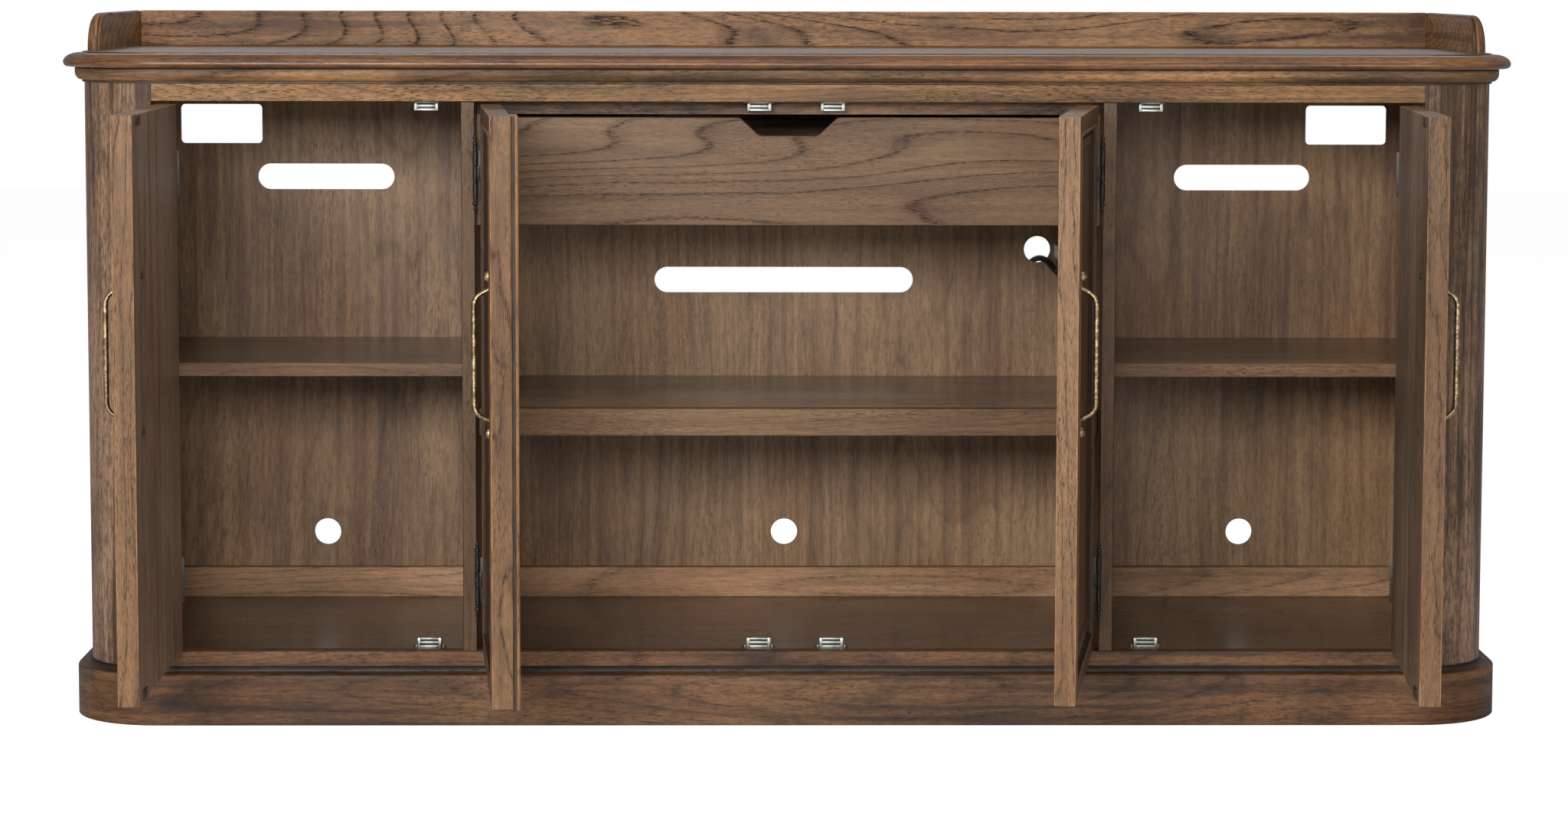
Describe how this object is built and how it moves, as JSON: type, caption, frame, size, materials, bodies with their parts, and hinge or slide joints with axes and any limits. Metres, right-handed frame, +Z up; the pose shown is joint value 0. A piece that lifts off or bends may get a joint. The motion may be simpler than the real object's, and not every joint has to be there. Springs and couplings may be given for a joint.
{
  "type": "media cabinet",
  "caption": "Oak media cabinet with rounded corner posts, gallery top, inset doors, a drawer, shelves and cable openings in its back.",
  "frame": {"origin": "on the floor, at the middle of the base of the box around the case and its open doors, without the cord", "axes": "+X towards the cabinet's right as seen from the front, -Y towards the front, +Z up"},
  "size_m": [1.8288, 0.9988, 0.889],
  "materials": {
    "case_wood": "satin, weathered brown oak",
    "door_wood": "satin, weathered brown oak with worn edges",
    "shelf_wood": "semi-gloss brown",
    "back_veneer": "satin brown veneer",
    "batten_wood": "satin brown",
    "drawer_face": "satin grey-brown oak",
    "drawer_wood": "matt lacquered",
    "antique_brass": "antiqued, hammered",
    "black_iron": "satin black",
    "nickel": "satin",
    "pin_brass": "satin",
    "black_plastic": "matt",
    "pale_plastic": "satin",
    "cord_rubber": "matt"
  },
  "bodies": {
    "case": {"top_panel": "case_wood", "cornice_front": "case_wood", "cornice_left": "case_wood", "cornice_right": "case_wood", "gallery_back": "case_wood", "gallery_left": "case_wood", "gallery_right": "case_wood", "corner_post_left": "case_wood", "corner_post_right": "case_wood", "side_panel_left": "case_wood", "side_panel_right": "case_wood", "top_rail": "case_wood", "bottom_rail": "case_wood", "sub_top": "case_wood", "floor_panel": "shelf_wood", "partition_left": "case_wood", "partition_right": "case_wood", "back_panel_left": "back_veneer", "back_panel_centre": "back_veneer", "back_panel_right": "back_veneer", "back_battens": "batten_wood", "plinth_front": "case_wood", "plinth_left": "case_wood", "plinth_right": "case_wood", "plinth_back": "case_wood", "shelf_left": "shelf_wood", "shelf_centre": "shelf_wood", "shelf_right": "shelf_wood", "shelf_pins": "pin_brass", "drawer_rail": "case_wood", "drawer_guides": "drawer_wood", "hinge_case_leaves": "black_iron", "door_catches": "nickel", "power_outlet": "black_plastic", "outlet_face": "pale_plastic", "cord_strain_relief": "black_plastic", "power_cord": "cord_rubber", "cord_coil": "cord_rubber", "cord_tie": "cord_rubber", "power_plug": "black_plastic"},
    "drawer": {"drawer_front": "drawer_face", "drawer_walls": "drawer_wood", "drawer_bottom": "drawer_wood"},
    "outer_left_door": {"door_outer_left": "door_wood", "moulding_outer_left": "door_wood", "plates_outer_left": "black_iron", "pull_outer_left": "antique_brass"},
    "inner_left_door": {"door_inner_left": "door_wood", "moulding_inner_left": "door_wood", "plates_inner_left": "black_iron", "pull_inner_left": "antique_brass", "astragal": "door_wood"},
    "inner_right_door": {"door_inner_right": "door_wood", "moulding_inner_right": "door_wood", "plates_inner_right": "black_iron", "pull_inner_right": "antique_brass"},
    "outer_right_door": {"door_outer_right": "door_wood", "moulding_outer_right": "door_wood", "plates_outer_right": "black_iron", "pull_outer_right": "antique_brass"}
  },
  "joints": [
    {"name": "drawer_slide", "type": "slide", "parent": "case", "child": "drawer", "axis": [0, -1, 0], "range_m": [0, 0.16]},
    {"name": "outer_left_hinge", "type": "hinge", "parent": "case", "child": "outer_left_door", "pos_m": [-0.7908, -0.04404, 0.436], "axis": [0, 0, -1], "range_deg": [-89.5, 20.5]},
    {"name": "inner_left_hinge", "type": "hinge", "parent": "case", "child": "inner_left_door", "pos_m": [-0.3898, -0.04404, 0.436], "axis": [0, 0, -1], "range_deg": [-84.8, 25.2]},
    {"name": "inner_right_hinge", "type": "hinge", "parent": "case", "child": "inner_right_door", "pos_m": [0.3898, -0.04404, 0.436], "axis": [0, 0, 1], "range_deg": [-81.8, 28.2]},
    {"name": "outer_right_hinge", "type": "hinge", "parent": "case", "child": "outer_right_door", "pos_m": [0.7908, -0.04404, 0.436], "axis": [0, 0, 1], "range_deg": [-85.4, 24.6]}
  ]
}
